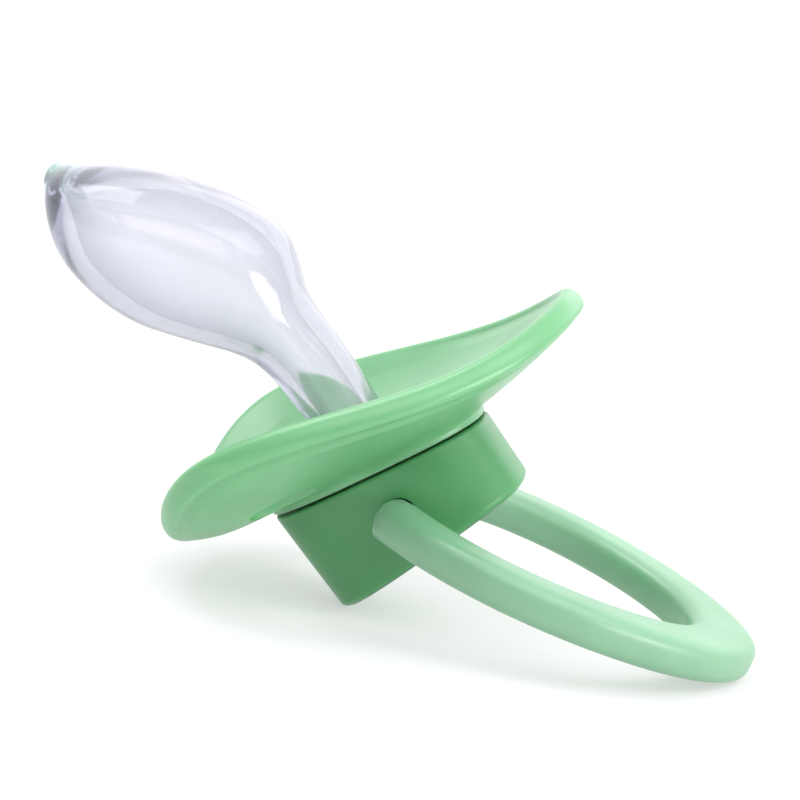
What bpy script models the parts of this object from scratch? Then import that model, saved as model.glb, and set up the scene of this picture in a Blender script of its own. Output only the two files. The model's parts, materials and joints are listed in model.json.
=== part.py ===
"""Baby pacifier: a dished shield, a hollow silicone teat, a knob housing and a finger ring.

The pieces are modelled in the pacifier's own axes: X towards the chin, Y sideways and Z towards the
mouth, with the ring's hinge axis along Y through the origin. The frame empty then lays the pacifier
down on the knob's nose-side edge and the ring's outer end, with Z = 0 as the surface below it.
"""

import math

import bmesh
import bpy
from mathutils import Matrix, Vector

CLEARANCE = 0.0003

# The joint face between shield and knob is a plane that leans towards the chin.
SEAM_HEIGHT = 0.00434
SEAM_SLOPE = -0.172
SEAM_GAP = 0.0003

KNOB_HALF_X = 0.01042
KNOB_HALF_Y = 0.00784
KNOB_POWER = 2.8
KNOB_BACK = -0.00445
KNOB_BACK_SHRINK = 0.982
KNOB_EDGE_RADIUS = 0.0007
KNOB_WALL = 0.00155
KNOB_FLOOR = 0.0016

SHIELD_CENTRE_X = -0.00573
SHIELD_NOSE_REACH = 0.01300
SHIELD_CHIN_REACH = 0.02925
SHIELD_HALF_Y = 0.02050
SHIELD_NOSE_POWER = 2.20
SHIELD_CHIN_POWER = 2.06
PLATE_THICKNESS = 0.0021
CENTRE_THICKNESS = 0.00245
PLINTH_HEIGHT = 0.0007
LIP_HEIGHT = 0.00235
LIP_WIDTH = 0.0021
# The lip's outer side: how far each point lies inside the outline, and how far below the crest.
LIP_PROFILE = (
    (0.00190, 0.00040),
    (0.00130, 0.00002),
    (0.00090, 0.0),
    (0.00056, 0.00020),
    (0.00032, 0.00070),
    (0.00012, 0.00140),
    (0.0, 0.00205),
    (0.00010, 0.00240),
    (0.00042, 0.00256),
    (0.00085, 0.00256),
)

SPIGOT_DEPTH = 0.0013
SPIGOT_WALL = 0.0008

# Each vent: name, centre (x, y), half-length along X, half-length along Y and its turn.
VENTS = (
    ("vent_cutter_left", (-0.0072, 0.0105), 0.0031, 0.0023, 0.0),
    ("vent_cutter_right", (-0.0072, -0.0105), 0.0031, 0.0023, 0.0),
    ("vent_cutter_chin", (0.0158, 0.0), 0.0040, 0.0018, math.radians(90)),
)

FLANGE_HALF = 0.0049
FLANGE_THICKNESS = 0.0012
NECK_HALF_Y = 0.0038
NECK_HALF_X = 0.0032
BOSS_HALF = 0.0046
POST_TOP = 0.0088

RING_ANGLE = math.radians(30.84)
RING_LENGTH = 0.03101
RING_LEG_Y = 0.01040
RING_LEG_HALF_WIDTH = 0.00238
RING_END_HALF_WIDTH = 0.0033
RING_HALF_THICKNESS = 0.00192
RING_POWER = 3.2
RING_FLARE = math.radians(47)
RING_LEG_PULL = 0.0178
RING_END_PULL = 0.0118
RING_BOW = -0.79
PIN_RADIUS = 0.0014
BEARING_RADIUS = 0.0017
PIN_INNER_END = 0.0064

SHIELD_SECTORS = 64
KNOB_SECTORS = 48
TEAT_SECTORS = 36
RING_STATIONS = 20
RING_SIDES = 16

# Half-widths (side to side) of the teat and its nose-side and chin-side outline points (x, z), from
# the neck at the shield to the tip.
TEAT_STATIONS = (
    (0.0038, (-0.00320, 0.0090), (0.00320, 0.0085)),
    (0.0039, (-0.00324, 0.0125), (0.00350, 0.0123)),
    (0.0042, (-0.00335, 0.0155), (0.00365, 0.0155)),
    (0.0047, (-0.00385, 0.0182), (0.00362, 0.0185)),
    (0.0054, (-0.00500, 0.0203), (0.00385, 0.0209)),
    (0.0062, (-0.00660, 0.0223), (0.00470, 0.0234)),
    (0.0070, (-0.00850, 0.0247), (0.00532, 0.0258)),
    (0.0077, (-0.01020, 0.0271), (0.00490, 0.0284)),
    (0.0083, (-0.01140, 0.0297), (0.00360, 0.0313)),
    (0.0086, (-0.01210, 0.0323), (0.00190, 0.0340)),
    (0.0084, (-0.01240, 0.0349), (0.00000, 0.0365)),
    (0.0077, (-0.01220, 0.0372), (-0.00210, 0.0388)),
    (0.0064, (-0.01160, 0.0391), (-0.00430, 0.0407)),
    (0.0046, (-0.01085, 0.0407), (-0.00640, 0.0423)),
    (0.0028, (-0.00990, 0.0421), (-0.00760, 0.0432)),
)
TEAT_TIP = (-0.00875, 0.0434)
NECK_WALL = 0.0012
BULB_WALL = 0.0016
TIP_WALL = 0.0030

GREEN = (0.26, 0.60, 0.36, 1.0)
CLEAR = (0.86, 0.88, 0.93, 1.0)


def clear_scene():
    for obj in list(bpy.data.objects):
        bpy.data.objects.remove(obj, do_unlink=True)


def new_collection(name):
    collection = bpy.data.collections.new(name)
    bpy.context.scene.collection.children.link(collection)
    return collection


def plastic(name, colour, roughness, transmission=0.0):
    material = bpy.data.materials.new(name)
    material.use_nodes = True
    shader = material.node_tree.nodes["Principled BSDF"]
    shader.inputs["Base Color"].default_value = colour
    shader.inputs["Roughness"].default_value = roughness
    shader.inputs["Metallic"].default_value = 0.0
    shader.inputs["Transmission Weight"].default_value = transmission
    return material


def superellipse(half_x, half_y, power, turn):
    """The point of a rounded oval at this turn; a power of 2 is an ellipse, more is squarer."""
    c, s = math.cos(turn), math.sin(turn)
    x = half_x * math.copysign(abs(c) ** (2 / power), c)
    y = half_y * math.copysign(abs(s) ** (2 / power), s)
    return Vector((x, y))


def turns(count):
    return [2 * math.pi * k / count for k in range(count)]


def seam_z(x):
    return SEAM_HEIGHT + SEAM_SLOPE * x


def knob_outline(turn, inset=0.0):
    return superellipse(KNOB_HALF_X - inset, KNOB_HALF_Y - inset, KNOB_POWER, turn)


def rim_outline(turn):
    chin = math.cos(turn) > 0
    reach = SHIELD_CHIN_REACH if chin else SHIELD_NOSE_REACH
    power = SHIELD_CHIN_POWER if chin else SHIELD_NOSE_POWER
    point = superellipse(reach, SHIELD_HALF_Y, power, turn)
    return Vector((point.x + SHIELD_CENTRE_X, point.y))


def rim_crest_z(x, y):
    """The rolled rim leans with the seam and curves towards the cheeks at both sides."""
    return 0.00832 - 0.284 * x + 0.66 * x**2 + 417 * x**3 + 10.23 * y**2


def lip_share(turn):
    """The lip is lower round the nose end."""
    return 1 - 0.22 * max(0.0, -math.cos(turn)) ** 2


def between(turn, part):
    """A point of the plate: part 0 is the knob's outline and part 1 is the rim's."""
    return knob_outline(turn).lerp(rim_outline(turn), part)


def back_z(turn, part):
    """The plate's back: it leaves the plinth low and steepens to the rim, most of all at the nose."""
    start = knob_outline(turn)
    end = rim_outline(turn)
    low = seam_z(start.x) + SEAM_GAP / 2 + PLINTH_HEIGHT
    high = rim_crest_z(end.x, end.y) - LIP_HEIGHT * lip_share(turn)
    bulge = max(0.0, -math.cos(turn))
    rise = (0.45 * part + 0.55 * part**2) * (1 - bulge) + part**2.5 * bulge
    return low + (high - low) * rise


def mesh_object(name, bm, collection, material):
    bmesh.ops.recalc_face_normals(bm, faces=bm.faces)
    mesh = bpy.data.meshes.new(name)
    bm.to_mesh(mesh)
    bm.free()
    obj = bpy.data.objects.new(name, mesh)
    collection.objects.link(obj)
    if material:
        mesh.materials.append(material)
    mesh.shade_smooth()
    mesh.set_sharp_from_angle(angle=math.radians(35))
    return obj


def loft(rings, closed_loop=False, cap_first=False, cap_last=False):
    """Faces between neighbouring rings of points; every ring has the same number of points."""
    bm = bmesh.new()
    rows = [[bm.verts.new(point) for point in ring] for ring in rings]
    pairs = list(zip(rows, rows[1:]))
    if closed_loop:
        pairs.append((rows[-1], rows[0]))
    for lower, upper in pairs:
        for k in range(len(lower)):
            after = (k + 1) % len(lower)
            bm.faces.new((lower[k], lower[after], upper[after], upper[k]))
    if cap_first:
        bm.faces.new(list(reversed(rows[0])))
    if cap_last:
        bm.faces.new(rows[-1])
    return bm


def hide_cutter(obj):
    obj.hide_render = True
    obj.display_type = "WIRE"


def boolean(obj, other, operation):
    modifier = obj.modifiers.new(operation.title(), "BOOLEAN")
    modifier.operation = operation
    modifier.solver = "EXACT"
    modifier.object = other
    hide_cutter(other)


def shield_section(turn):
    """One section of the shield, from the neck opening over the front, rim and back to the opening."""
    opening = superellipse(NECK_HALF_X + CLEARANCE, NECK_HALF_Y + CLEARANCE, 2, turn)
    plinth = knob_outline(turn)
    spigot = knob_outline(turn, KNOB_WALL + CLEARANCE)
    spigot_inner = knob_outline(turn, KNOB_WALL + CLEARANCE + SPIGOT_WALL)
    rim = rim_outline(turn)
    crest = rim_crest_z(rim.x, rim.y)
    reach = (rim - plinth).length
    lip = LIP_WIDTH / reach

    def at(point, z):
        return Vector((point.x, point.y, z))

    def under(point, drop=0.0):
        return at(point, seam_z(point.x) + SEAM_GAP / 2 - drop)

    section = [at(opening, seam_z(opening.x) + CENTRE_THICKNESS)]
    shoulder = opening.lerp(plinth, 0.6)
    section.append(at(shoulder, seam_z(shoulder.x) + CENTRE_THICKNESS + 0.0001))
    for part in (0.0, 0.15, 0.3, 0.45, 0.6, 0.74, 0.86):
        point = between(turn, part * (1 - lip))
        section.append(at(point, back_z(turn, part * (1 - lip)) + PLATE_THICKNESS * (1 + 0.25 * part**3)))
    for inset, drop in LIP_PROFILE:
        section.append(at(between(turn, 1 - inset / reach), crest - drop * lip_share(turn)))
    for part in (1 - 0.58 * lip, 0.85, 0.7, 0.55, 0.4, 0.25, 0.12, 0.03):
        section.append(at(between(turn, part), back_z(turn, part)))
    section.append(under(plinth))
    section.append(under(spigot))
    section.append(under(spigot, SPIGOT_DEPTH))
    section.append(under(spigot_inner, SPIGOT_DEPTH))
    section.append(under(spigot_inner))
    section.append(under(opening))
    return section


def vent_cutter(name, centre, half_length, half_width, lean, collection):
    """An upright oval block through the plate, its long side turned by this lean."""
    outline = [superellipse(half_length, half_width, 2.4, turn) for turn in turns(28)]
    outline = [Vector(centre) + Matrix.Rotation(lean, 2) @ point for point in outline]
    rings = [[Vector((p.x, p.y, z)) for p in outline] for z in (-0.004, 0.022)]
    return mesh_object(name, loft(rings, cap_first=True, cap_last=True), collection, None)


def make_shield(parts, cutters, material):
    sections = [shield_section(turn) for turn in turns(SHIELD_SECTORS)]
    bm = loft(list(zip(*sections)), closed_loop=True)
    shield = mesh_object("shield", bm, parts, material)
    for vent in VENTS:
        boolean(shield, vent_cutter(*vent, cutters), "DIFFERENCE")
    return shield


def oval_prism(name, half_x, half_y, power, low, high, collection):
    """An upright oval block; low and high give the height of its ends at x."""
    outline = [superellipse(half_x, half_y, power, turn) for turn in turns(KNOB_SECTORS)]
    rings = [[Vector((p.x, p.y, end(p.x))) for p in outline] for end in (low, high)]
    return mesh_object(name, loft(rings, cap_first=True, cap_last=True), collection, None)


def bearing_cutter(side, collection):
    bm = bmesh.new()
    bmesh.ops.create_cone(
        bm, cap_ends=True, segments=24, radius1=BEARING_RADIUS, radius2=BEARING_RADIUS, depth=0.006
    )
    name = "bearing_cutter_left" if side > 0 else "bearing_cutter_right"
    cutter = mesh_object(name, bm, collection, None)
    cutter.rotation_euler = (math.pi / 2, 0, 0)
    cutter.location = (0, side * (KNOB_HALF_Y + 0.0012), 0)
    return cutter


def make_knob(parts, cutters, material):
    """A cup whose mouth faces the shield, with a boss under the teat's flange and a post in its neck."""
    rings = []
    for step in range(5):
        angle = math.pi / 2 * step / 4
        inset = KNOB_EDGE_RADIUS * (1 - math.sin(angle))
        z = KNOB_BACK + KNOB_EDGE_RADIUS * (1 - math.cos(angle))
        outline = [knob_outline(turn, inset) * KNOB_BACK_SHRINK for turn in turns(KNOB_SECTORS)]
        rings.append([Vector((p.x, p.y, z)) for p in outline])
    top = [knob_outline(turn) for turn in turns(KNOB_SECTORS)]
    rings.append([Vector((p.x, p.y, seam_z(p.x) - SEAM_GAP / 2)) for p in top])
    bm = loft(rings, cap_first=True, cap_last=True)
    knob = mesh_object("knob_housing", bm, parts, material)

    floor = KNOB_BACK + KNOB_FLOOR
    flange_under = SEAM_GAP / 2 + CLEARANCE + FLANGE_THICKNESS + CLEARANCE
    pocket = oval_prism(
        "pocket_cutter", KNOB_HALF_X - KNOB_WALL, KNOB_HALF_Y - KNOB_WALL, KNOB_POWER,
        lambda x: floor, lambda x: SEAM_HEIGHT + 0.006, cutters,
    )
    boss = oval_prism(
        "boss", BOSS_HALF, BOSS_HALF, 2,
        lambda x: floor - 0.0005, lambda x: seam_z(x) - flange_under, cutters,
    )
    post = oval_prism(
        "post", NECK_HALF_X - NECK_WALL - CLEARANCE, NECK_HALF_Y - NECK_WALL - CLEARANCE, 2,
        lambda x: floor, lambda x: POST_TOP, cutters,
    )
    boolean(knob, pocket, "DIFFERENCE")
    boolean(knob, boss, "UNION")
    boolean(knob, post, "UNION")
    for side in (1, -1):
        boolean(knob, bearing_cutter(side, cutters), "DIFFERENCE")
    return knob


def smooth_stations(stations, steps):
    """The stations with this many steps between neighbours, on a Catmull-Rom curve through them."""
    rows = [Vector((half_y, *nose, *chin)) for half_y, nose, chin in stations]
    rows = [2 * rows[0] - rows[1]] + rows + [2 * rows[-1] - rows[-2]]
    smooth = []
    for a, b, c, d in zip(rows, rows[1:], rows[2:], rows[3:]):
        for step in range(steps):
            t = step / steps
            curve = 2 * b + (c - a) * t + (2 * a - 5 * b + 4 * c - d) * t**2 + (3 * b - 3 * c + d - a) * t**3
            smooth.append(curve / 2)
    smooth.append(rows[-2])
    return smooth


def teat_ring(station, wall):
    """One oval ring round the teat, its two outline points moved inwards by the wall."""
    half_y = station[0]
    nose = Vector((station[1], 0, station[2]))
    chin = Vector((station[3], 0, station[4]))
    middle = (nose + chin) / 2
    across = (chin - nose) / 2
    long = across.length - wall
    side = half_y - wall
    ring = []
    for turn in turns(TEAT_SECTORS):
        point = superellipse(long, side, 2.15, turn)
        ring.append(middle + across.normalized() * point.x + Vector((0, point.y, 0)))
    return ring


def flange_ring(half_x, half_y, drop):
    """A ring on the teat's foot, parallel to the seam and this far below it."""
    ring = []
    for turn in turns(TEAT_SECTORS):
        point = superellipse(half_x, half_y, 2, turn)
        ring.append(Vector((point.x, point.y, seam_z(point.x) - drop)))
    return ring


def make_teat(parts, material):
    """The outside from foot to tip, then the hollow from tip back to the open foot."""
    top = SEAM_GAP / 2
    foot = top + FLANGE_THICKNESS
    rings = [
        flange_ring(FLANGE_HALF - 0.0002, FLANGE_HALF - 0.0002, foot),
        flange_ring(FLANGE_HALF, FLANGE_HALF, foot - 0.0003),
        flange_ring(FLANGE_HALF, FLANGE_HALF, top + 0.0003),
        flange_ring(FLANGE_HALF - 0.0002, FLANGE_HALF - 0.0002, top),
        flange_ring(NECK_HALF_X, NECK_HALF_Y, top),
        flange_ring(NECK_HALF_X, NECK_HALF_Y, -CENTRE_THICKNESS),
    ]
    rings += [teat_ring(station, 0.0) for station in smooth_stations(TEAT_STATIONS, 2)]
    stations = smooth_stations(TEAT_STATIONS[:-2], 2)
    hollow = []
    for number, station in enumerate(stations):
        along = number / (len(stations) - 1)
        wall = NECK_WALL + (BULB_WALL - NECK_WALL) * min(1.0, along / 0.5)
        wall += (TIP_WALL - BULB_WALL) * max(0.0, (along - 0.75) / 0.25) ** 2
        hollow.append(teat_ring(station, wall))
    hollow.insert(0, flange_ring(NECK_HALF_X - NECK_WALL, NECK_HALF_Y - NECK_WALL, -CENTRE_THICKNESS))
    hollow.insert(0, flange_ring(NECK_HALF_X - NECK_WALL, NECK_HALF_Y - NECK_WALL, foot))

    bm = loft(rings)
    inner = loft(list(reversed(hollow)))
    joined = bpy.data.meshes.new("hollow")
    inner.to_mesh(joined)
    inner.free()
    bm.from_mesh(joined)
    bpy.data.meshes.remove(joined)
    bm.verts.ensure_lookup_table()
    count = TEAT_SECTORS
    first_outer = bm.verts[0:count]
    last_outer = bm.verts[(len(rings) - 1) * count : len(rings) * count]
    first_inner = bm.verts[len(rings) * count : (len(rings) + 1) * count]
    last_inner = bm.verts[len(bm.verts) - count : len(bm.verts)]
    tip = bm.verts.new((TEAT_TIP[0], 0, TEAT_TIP[1]))
    inner_tip = bm.verts.new(sum((v.co for v in first_inner), Vector()) / count)
    for k in range(count):
        after = (k + 1) % count
        bm.faces.new((last_outer[k], last_outer[after], tip))
        bm.faces.new((first_inner[k], first_inner[after], inner_tip))
        bm.faces.new((first_outer[k], first_outer[after], last_inner[after], last_inner[k]))
    return mesh_object("teat", bm, parts, material)


def ring_path(part):
    """Centre and direction of the ring's band in its own plane: (along, sideways)."""
    start = Vector((0, RING_LEG_Y))
    pull = start + RING_LEG_PULL * Vector((math.cos(RING_FLARE), math.sin(RING_FLARE)))
    end = Vector((RING_LENGTH, 0))
    end_pull = end + Vector((0, RING_END_PULL))
    a, b = 1 - part, part
    centre = a**3 * start + 3 * a * a * b * pull + 3 * a * b * b * end_pull + b**3 * end
    along = a * a * (pull - start) + 2 * a * b * (end_pull - pull) + b * b * (end - end_pull)
    return centre, along.normalized()


def ring_section(centre, outward, half_width, half_thickness):
    """An oval section of the band, kept clear of the knob's side; bowed along the ring's length."""
    section = []
    for turn in turns(RING_SIDES):
        oval = superellipse(half_width, half_thickness, RING_POWER, turn)
        flat = centre + outward * oval.x
        sideways = max(flat.y, 0.0)
        if flat.x < 0.013:
            sideways = max(sideways, KNOB_HALF_Y + CLEARANCE)
        bow = RING_BOW * max(centre.x, 0.0) ** 2
        section.append(Vector((bow + oval.y, sideways, -flat.x)))
    return section


def make_ring(parts, cutters, material):
    """Half a ring from the rounded head at the hinge to the middle of the outer end, mirrored in Y.

    It is drawn hanging straight back along -Z, and its hinge empty turns it.
    """
    sections = []
    for step in range(1, 6):
        angle = math.pi / 2 * (1 - step / 6)
        centre = Vector((-RING_HALF_THICKNESS * math.sin(angle), RING_LEG_Y))
        width = RING_LEG_HALF_WIDTH * (0.45 + 0.55 * math.cos(angle))
        thickness = RING_HALF_THICKNESS * math.cos(angle)
        sections.append(ring_section(centre, Vector((0, 1)), width, thickness))
    for step in range(RING_STATIONS + 1):
        part = step / RING_STATIONS
        centre, along = ring_path(part)
        outward = Vector((-along.y, along.x))
        width = RING_LEG_HALF_WIDTH + (RING_END_HALF_WIDTH - RING_LEG_HALF_WIDTH) * part
        sections.append(ring_section(centre, outward, width, RING_HALF_THICKNESS))
    bm = loft(sections, cap_first=True)
    ring = mesh_object("finger_ring", bm, parts, material)
    mirror = ring.modifiers.new("Mirror", "MIRROR")
    mirror.use_axis = (False, True, False)
    mirror.use_clip = True
    mirror.merge_threshold = 0.00002
    for side in (1, -1):
        pin = bmesh.new()
        length = RING_LEG_Y - PIN_INNER_END
        bmesh.ops.create_cone(
            pin, cap_ends=True, segments=24, radius1=PIN_RADIUS, radius2=PIN_RADIUS, depth=length
        )
        name = "hinge_pin_left" if side > 0 else "hinge_pin_right"
        pin = mesh_object(name, pin, cutters, None)
        pin.rotation_euler = (math.pi / 2, 0, 0)
        pin.location = (0, side * (PIN_INNER_END + length / 2), 0)
        boolean(ring, pin, "UNION")
    return ring


def world_points(objects):
    """The vertices of the finished pieces in world space."""
    bpy.context.view_layer.update()
    graph = bpy.context.evaluated_depsgraph_get()
    points = []
    for obj in objects:
        evaluated = obj.evaluated_get(graph)
        mesh = evaluated.to_mesh()
        points += [evaluated.matrix_world @ vertex.co for vertex in mesh.vertices]
        evaluated.to_mesh_clear()
    return points


def resting_tilt(knob_points, ring_points):
    """The lean at which the knob's edge and the ring's outer end are equally low."""

    def lowest(points, tilt):
        return min(p.x * math.sin(tilt) + p.z * math.cos(tilt) for p in points)

    low, high = math.radians(30), math.radians(60)
    for _ in range(40):
        tilt = (low + high) / 2
        if lowest(ring_points, tilt) < lowest(knob_points, tilt):
            low = tilt
        else:
            high = tilt
    return tilt


def main():
    clear_scene()
    parts = new_collection("pacifier")
    cutters = new_collection("cutters")
    green = plastic("green_plastic", GREEN, 0.22)
    clear = plastic("clear_silicone", CLEAR, 0.08, transmission=0.9)

    frame = bpy.data.objects.new("pacifier_frame", None)
    hinge = bpy.data.objects.new("ring_hinge", None)
    parts.objects.link(frame)
    parts.objects.link(hinge)
    hinge.parent = frame
    hinge.rotation_euler = (0, -RING_ANGLE, 0)

    knob = make_knob(parts, cutters, green)
    ring = make_ring(parts, cutters, green)
    fixed = [make_shield(parts, cutters, green), make_teat(parts, clear), knob]
    for obj in fixed:
        obj.parent = frame
    ring.parent = hinge
    for cutter in cutters.objects:
        cutter.parent = hinge if cutter.name.startswith("hinge_pin") else frame

    tilt = resting_tilt(world_points([knob]), world_points([ring]))
    frame.rotation_euler = (0, -tilt, 0)
    points = world_points(fixed + [ring])
    low = [min(p[axis] for p in points) for axis in range(3)]
    high = [max(p[axis] for p in points) for axis in range(3)]
    frame.location = (-(low[0] + high[0]) / 2, -(low[1] + high[1]) / 2, -low[2])
    bpy.context.view_layer.update()


main()
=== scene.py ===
"""Looks of the pacifier: shield, silicone teat, knob housing and finger ring, on a pale floor.

Each piece is drawn in the pacifier's own axes (X towards the chin, Y sideways, Z towards the mouth,
origin on the ring's hinge axis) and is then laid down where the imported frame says.
"""

import json
import math

import bmesh
import bpy
from mathutils import Matrix, Vector
from mathutils.bvhtree import BVHTree


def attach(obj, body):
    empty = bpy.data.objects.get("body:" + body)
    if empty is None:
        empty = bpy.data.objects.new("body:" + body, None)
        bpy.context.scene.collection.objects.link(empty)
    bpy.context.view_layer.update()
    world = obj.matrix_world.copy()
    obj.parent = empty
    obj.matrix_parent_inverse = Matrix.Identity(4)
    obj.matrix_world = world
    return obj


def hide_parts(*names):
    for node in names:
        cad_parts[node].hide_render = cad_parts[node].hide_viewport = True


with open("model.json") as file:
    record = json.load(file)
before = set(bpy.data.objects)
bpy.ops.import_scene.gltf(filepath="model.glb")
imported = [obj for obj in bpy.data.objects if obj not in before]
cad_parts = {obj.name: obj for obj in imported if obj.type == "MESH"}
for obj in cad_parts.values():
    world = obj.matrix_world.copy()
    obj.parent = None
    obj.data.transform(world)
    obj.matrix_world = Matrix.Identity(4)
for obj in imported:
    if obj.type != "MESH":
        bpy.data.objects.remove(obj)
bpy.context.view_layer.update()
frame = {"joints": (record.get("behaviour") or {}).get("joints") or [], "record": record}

# All lengths are in metres.
CLEARANCE = 0.0003

# The joint face between shield and knob is a plane that leans towards the chin.
SEAM_HEIGHT = 0.00434
SEAM_SLOPE = -0.172
SEAM_GAP = 0.0003
SEAM_SHOWN = 0.00025

KNOB_HALF_X = 0.01042
KNOB_HALF_Y = 0.00784
KNOB_POWER = 2.8
KNOB_BACK = -0.00445
KNOB_BACK_SHRINK = 0.982
KNOB_EDGE_RADIUS = 0.0007
KNOB_WALL = 0.00155
KNOB_FLOOR = 0.0016
KNOB_DISH = 0.00018
KNOB_DISH_REACH = 0.93
KNOB_MOUTH_RADIUS = 0.0003
KNOB_SMALL_BEVEL = 0.0001
KNOB_FLOOR_BEVEL = 0.0003
KNOB_FLOOR_INSET = 0.005

SHIELD_CENTRE_X = -0.00573
SHIELD_NOSE_REACH = 0.01300
SHIELD_CHIN_REACH = 0.02925
SHIELD_HALF_Y = 0.02050
SHIELD_NOSE_POWER = 2.20
SHIELD_CHIN_POWER = 2.06
PLATE_THICKNESS = 0.0021
CENTRE_THICKNESS = 0.00245
PLINTH_HEIGHT = 0.0007
RIM_THICKENING = 0.25
SHOULDER_PART = 0.6
SHOULDER_RISE = 0.0001
PLINTH_CORNER = 0.00022
OPENING_CORNER = 0.0002
OPENING_DEPTH = 0.001
LIP_HEIGHT = 0.00235
LIP_WIDTH = 0.0021
LIP_DROP_AT_NOSE = 0.22
# How far up the plate its front and back are drawn: the lip's section takes over from there.
FRONT_END = 0.86
FRONT_STEPS = 14
BACK_END = 0.60
BACK_PARTS = (0.85, 0.76, 0.67, 0.58, 0.49, 0.40, 0.31, 0.22, 0.13)
# The height of the lip's crest: a constant, then its terms in x, x squared, x cubed and y squared.
CREST = (0.00832, -0.284, 0.66, 417, 10.23)
# The lip's section: how far each point lies inside the outline, and how far below the crest.
# The first is for the sides and the chin, and the second for the nose.
LIP_PROFILE = (
    (0.00185, 0.00048),
    (0.00150, 0.00016),
    (0.00114, 0.0),
    (0.00080, 0.00004),
    (0.00050, 0.00018),
    (0.00026, 0.00044),
    (0.00009, 0.00084),
    (0.0, 0.00135),
    (0.00002, 0.00180),
    (0.00016, 0.00215),
    (0.00048, 0.00236),
    (0.00094, 0.00240),
)
NOSE_PROFILE = (
    (0.00185, 0.00048),
    (0.00150, 0.00016),
    (0.00116, 0.0),
    (0.00084, 0.00004),
    (0.00055, 0.00016),
    (0.00030, 0.00038),
    (0.00012, 0.00070),
    (0.00002, 0.00108),
    (0.00006, 0.00150),
    (0.00022, 0.00188),
    (0.00050, 0.00222),
    (0.00085, 0.00254),
)
SPIGOT_DEPTH = 0.0013
SPIGOT_WALL = 0.0008

# Each vent: its centre (x, y), its half-length and half-width, and its turn from X.
VENTS = (
    ((-0.0072, 0.0105), 0.0031, 0.0023, 0.0),
    ((-0.0072, -0.0105), 0.0031, 0.0023, 0.0),
    ((0.0158, 0.0), 0.0040, 0.0018, math.radians(90)),
)
BELOW_SHIELD = -0.02
ABOVE_SHIELD = 0.04
VENT_POWER = 2.4
VENT_FRONT_RADIUS = 0.0006
VENT_BACK_RADIUS = 0.0003
VENT_SWEEP = math.radians(78)
VENT_RISE = 0.00006
VENT_MARGIN = 0.002

FLANGE_HALF = 0.0049
FLANGE_THICKNESS = 0.0012
NECK_HALF_Y = 0.0038
NECK_HALF_X = 0.0032
FLANGE_BEVEL = 0.0002
FLANGE_EDGE = 0.0003
BOSS_HALF = 0.0046
BOSS_EDGE = 0.0003
BOSS_ROOT = 0.0005
POST_TOP = 0.0088
POST_EDGE = 0.0005
POST_ROOT = 0.0003

RING_ANGLE = math.radians(30.84)
RING_LENGTH = 0.03101
RING_LEG_Y = 0.01040
RING_LEG_HALF_WIDTH = 0.00238
RING_END_HALF_WIDTH = 0.0033
RING_HALF_THICKNESS = 0.00192
RING_POWER = 3.2
RING_FLARE = math.radians(47)
RING_LEG_PULL = 0.0178
RING_END_PULL = 0.0118
RING_BOW = -0.79
RING_HEAD_WIDTH = 0.45
RING_BESIDE_KNOB = 0.013
RING_SIDE_BLEND = 0.00006
PIN_RADIUS = 0.0014
PIN_INNER_END = 0.0064
PIN_BEVEL = 0.0003
PIN_END_SCALE = 0.8
BEARING_RADIUS = 0.0017
BEARING_HALF_DEPTH = 0.003
BEARING_SHIFT = 0.0012

# The teat's half-width from side to side, and its outline's points (x, z) on the nose side and the
# chin side, from the neck at the shield to the tip.
TEAT_STATIONS = (
    (0.0038, (-0.00320, 0.0090), (0.00320, 0.0085)),
    (0.0039, (-0.00324, 0.0125), (0.00350, 0.0123)),
    (0.0042, (-0.00335, 0.0155), (0.00365, 0.0155)),
    (0.0047, (-0.00385, 0.0182), (0.00362, 0.0185)),
    (0.0054, (-0.00500, 0.0203), (0.00385, 0.0209)),
    (0.0062, (-0.00660, 0.0223), (0.00470, 0.0234)),
    (0.0070, (-0.00850, 0.0247), (0.00532, 0.0258)),
    (0.0077, (-0.01020, 0.0271), (0.00490, 0.0284)),
    (0.0083, (-0.01140, 0.0297), (0.00360, 0.0313)),
    (0.0086, (-0.01210, 0.0323), (0.00190, 0.0340)),
    (0.0084, (-0.01240, 0.0349), (0.00000, 0.0365)),
    (0.0077, (-0.01220, 0.0372), (-0.00210, 0.0388)),
    (0.0064, (-0.01160, 0.0391), (-0.00430, 0.0407)),
    (0.0046, (-0.01085, 0.0407), (-0.00640, 0.0423)),
    (0.0028, (-0.00990, 0.0421), (-0.00760, 0.0432)),
)
TEAT_TIP = (-0.00875, 0.0434)
TEAT_POWER = 2.15
NECK_WALL = 0.0012
BULB_WALL = 0.0016
TIP_WALL = 0.0030
# Where along the teat its wall reaches the bulb's, and where it begins to thicken to the tip's.
BULB_FROM = 0.5
TIP_FROM = 0.75
HOLLOW_TIP_REACH = 0.25
HOLLOW_END_REACH = 0.15

SHIELD_SECTORS = 200
KNOB_SECTORS = 144
VENT_SECTORS = 72
POST_SECTORS = 64
BEARING_SECTORS = 48
PIN_SECTORS = 40
TEAT_SECTORS = 144
TEAT_STEPS = 9
RING_STATIONS = 84
RING_HEAD_STEPS = 14
RING_SIDES = 48

# The photograph's view: headed a little towards the nose side, looking down, the camera rolled.
CAMERA_TARGET = Vector((-0.00046, 0.00143, 0.01888))
CAMERA_DISTANCE = 0.280
CAMERA_HEADING = math.radians(4.471)
CAMERA_DOWN = math.radians(9.568)
CAMERA_ROLL = math.radians(9.686)
CAMERA_LENS = 138.74

SHIELD_GREEN = (0.138, 0.400, 0.178)
# The knob is the shield's plastic given a darker green: painted shade.
KNOB_GREEN_PAINTED_SHADE = (0.075, 0.280, 0.105)
# The ring is the same plastic given a whiter green: a painted sheen.
RING_GREEN_PAINTED_SHEEN = (0.180, 0.392, 0.230)
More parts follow.
